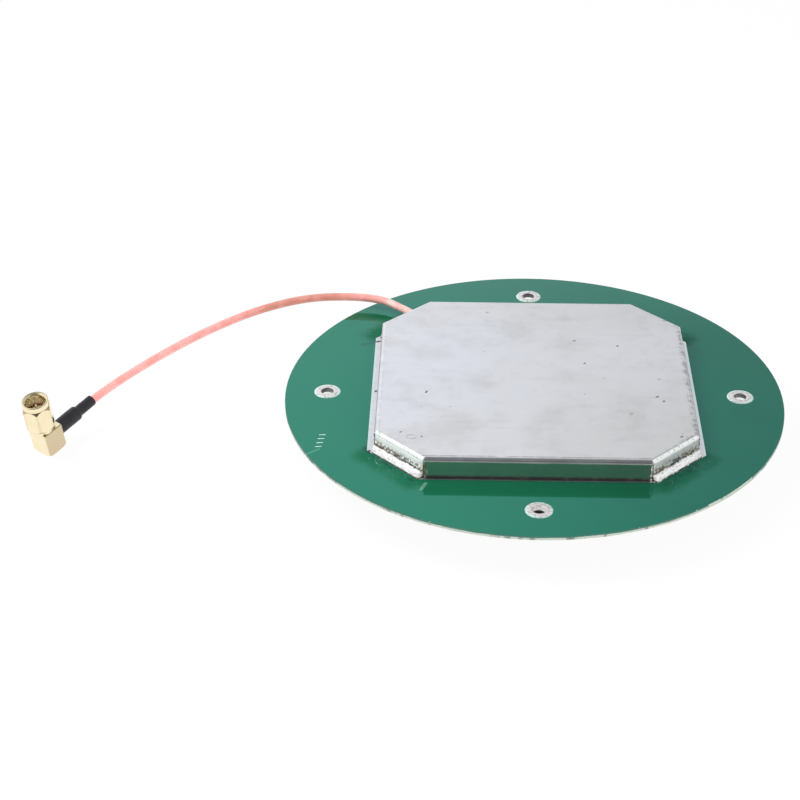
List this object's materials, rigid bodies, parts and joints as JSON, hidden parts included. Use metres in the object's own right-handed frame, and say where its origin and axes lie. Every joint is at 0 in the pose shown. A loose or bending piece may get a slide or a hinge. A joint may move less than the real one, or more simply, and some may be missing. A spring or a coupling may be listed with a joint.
{
  "type": "satellite survey antenna module",
  "caption": "Round ground plane board with an octagonal soldered shield can, stacked square patch radiators beneath and a short coaxial pigtail with a right-angle screw plug.",
  "frame": {"origin": "centre of the round board in X and Y, at the level that the screw heads under the radiators stand on", "axes": "+Z out of the board through the shield can, X and Y through the four fixing holes, cable leaving towards -X +Y"},
  "size_m": [0.2274, 0.15, 0.0213],
  "materials": {
    "solder_mask_board": "satin green solder mask over copper and glass laminate",
    "tinned_pad": "bright tin over copper",
    "tinned_steel": "smooth tinned sheet",
    "solder": "bright, uneven solder",
    "ptfe_laminate": "matt ivory laminate",
    "tinned_foil": "tinned copper foil",
    "gold_plated_brass": "polished gold plate",
    "plain_brass": "plain machined brass",
    "nylon": "natural nylon",
    "coupler_ceramic": "dark laminate module",
    "filter_ceramic": "pale ceramic",
    "chip_package": "moulded black package",
    "ferrite": "dark ferrite",
    "passive_ceramic": "tan chip parts with tinned ends",
    "cable_jacket": "clear pinkish jacket over silvered braid",
    "silvered_wire": "silver-plated copper",
    "cable_dielectric": "white fluoropolymer",
    "red_rubber": "silicone rubber",
    "shrink_sleeve": "matt black polyolefin"
  },
  "bodies": {
    "antenna": {"ground_plane_board": "solder_mask_board", "mounting_hole_plating": "tinned_pad", "shield_land": "tinned_pad", "shield_fence": "tinned_steel", "shield_lid": "tinned_steel", "corner_solder": "solder", "lower_patch_board": "ptfe_laminate", "lower_patch_foil": "tinned_foil", "upper_patch_board": "ptfe_laminate", "upper_patch_foil": "tinned_foil", "feed_pins": "gold_plated_brass", "feed_solder_outer": "solder", "feed_solder_inner": "solder", "patch_screws": "nylon", "patch_screw_nuts": "nylon", "centre_screw": "plain_brass", "centre_nut": "plain_brass", "hybrid_couplers": "coupler_ceramic", "ceramic_filters": "filter_ceramic", "amplifier_chips": "chip_package", "voltage_regulator": "chip_package", "bias_choke": "ferrite", "passive_chips": "passive_ceramic", "tail_jacket": "cable_jacket", "tail_braid": "silvered_wire", "tail_dielectric": "cable_dielectric", "tail_conductor": "silvered_wire", "braid_solder": "solder", "pigtail_cable": "cable_jacket", "plug_body": "gold_plated_brass", "plug_rear_cap": "gold_plated_brass", "plug_insulator": "cable_dielectric", "plug_centre_pin": "gold_plated_brass", "plug_gasket": "red_rubber", "snap_ring": "plain_brass", "crimp_ferrule": "gold_plated_brass", "crimped_braid": "silvered_wire", "plug_dielectric": "cable_dielectric", "plug_conductor": "silvered_wire", "heat_shrink": "shrink_sleeve"},
    "coupling_nut": {"coupling_nut": "gold_plated_brass"}
  },
  "joints": [
    {"name": "coupling_nut_spin", "type": "hinge", "parent": "antenna", "child": "coupling_nut", "pos_m": [-0.1468, -0.01366, 0.00514], "axis": [-0.0816, -0.1883, 0.9787], "continuous": true}
  ]
}
